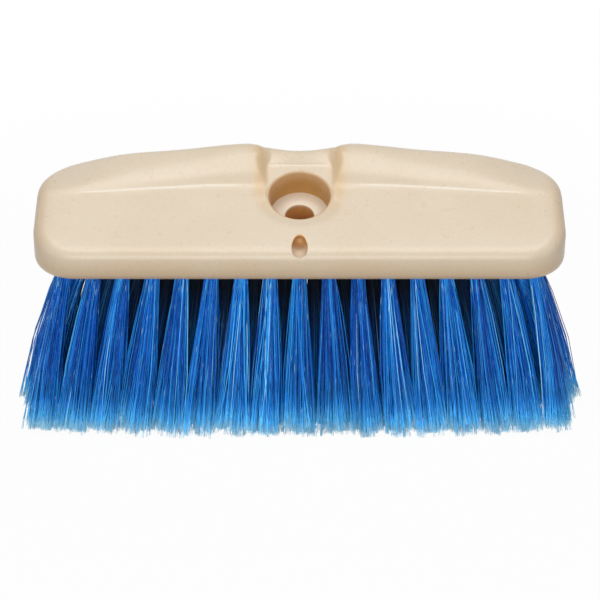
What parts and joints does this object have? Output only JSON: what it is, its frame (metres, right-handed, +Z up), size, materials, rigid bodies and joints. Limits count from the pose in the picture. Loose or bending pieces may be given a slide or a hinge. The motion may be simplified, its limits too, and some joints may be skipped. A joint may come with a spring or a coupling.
{
  "type": "wash brush",
  "caption": "Flow-through wash brush head: a moulded block with a raised rear ridge, an angled handle socket and a fan of soft flagged bristle tufts.",
  "frame": {"origin": "on the ground under the middle of the head", "axes": "+X along the head to the right as seen from its low front, +Y from the low front to the ridge, +Z up"},
  "size_m": [0.2812, 0.0714, 0.1313],
  "materials": {
    "head_plastic": "moulded, satin",
    "bristle": "drawn filament, flagged tips",
    "anchor_metal": "galvanised"
  },
  "bodies": {
    "root": {"head_block": "head_plastic", "front_tuft_01": "bristle", "front_tuft_02": "bristle", "front_tuft_03": "bristle", "front_tuft_04": "bristle", "front_tuft_05": "bristle", "front_tuft_06": "bristle", "front_tuft_07": "bristle", "front_tuft_08": "bristle", "front_tuft_09": "bristle", "front_tuft_10": "bristle", "front_tuft_11": "bristle", "front_tuft_12": "bristle", "front_tuft_13": "bristle", "front_tuft_14": "bristle", "front_tuft_15": "bristle", "front_tuft_16": "bristle", "front_tuft_17": "bristle", "second_tuft_01": "bristle", "second_tuft_02": "bristle", "second_tuft_03": "bristle", "second_tuft_04": "bristle", "second_tuft_05": "bristle", "second_tuft_06": "bristle", "second_tuft_07": "bristle", "second_tuft_08": "bristle", "second_tuft_09": "bristle", "second_tuft_10": "bristle", "second_tuft_11": "bristle", "second_tuft_12": "bristle", "second_tuft_13": "bristle", "second_tuft_14": "bristle", "second_tuft_15": "bristle", "second_tuft_16": "bristle", "rear_tuft_01": "bristle", "rear_tuft_02": "bristle", "rear_tuft_03": "bristle", "rear_tuft_04": "bristle", "rear_tuft_05": "bristle", "rear_tuft_06": "bristle", "rear_tuft_07": "bristle", "rear_tuft_08": "bristle", "rear_tuft_09": "bristle", "rear_tuft_10": "bristle", "rear_tuft_11": "bristle", "rear_tuft_12": "bristle", "rear_tuft_13": "bristle", "rear_tuft_14": "bristle", "rear_tuft_15": "bristle", "rear_tuft_16": "bristle", "middle_row_tufts": "bristle", "fourth_row_tufts": "bristle", "front_row_anchors": "anchor_metal", "second_row_anchors": "anchor_metal", "middle_row_anchors": "anchor_metal", "fourth_row_anchors": "anchor_metal", "rear_row_anchors": "anchor_metal"}
  },
  "joints": []
}
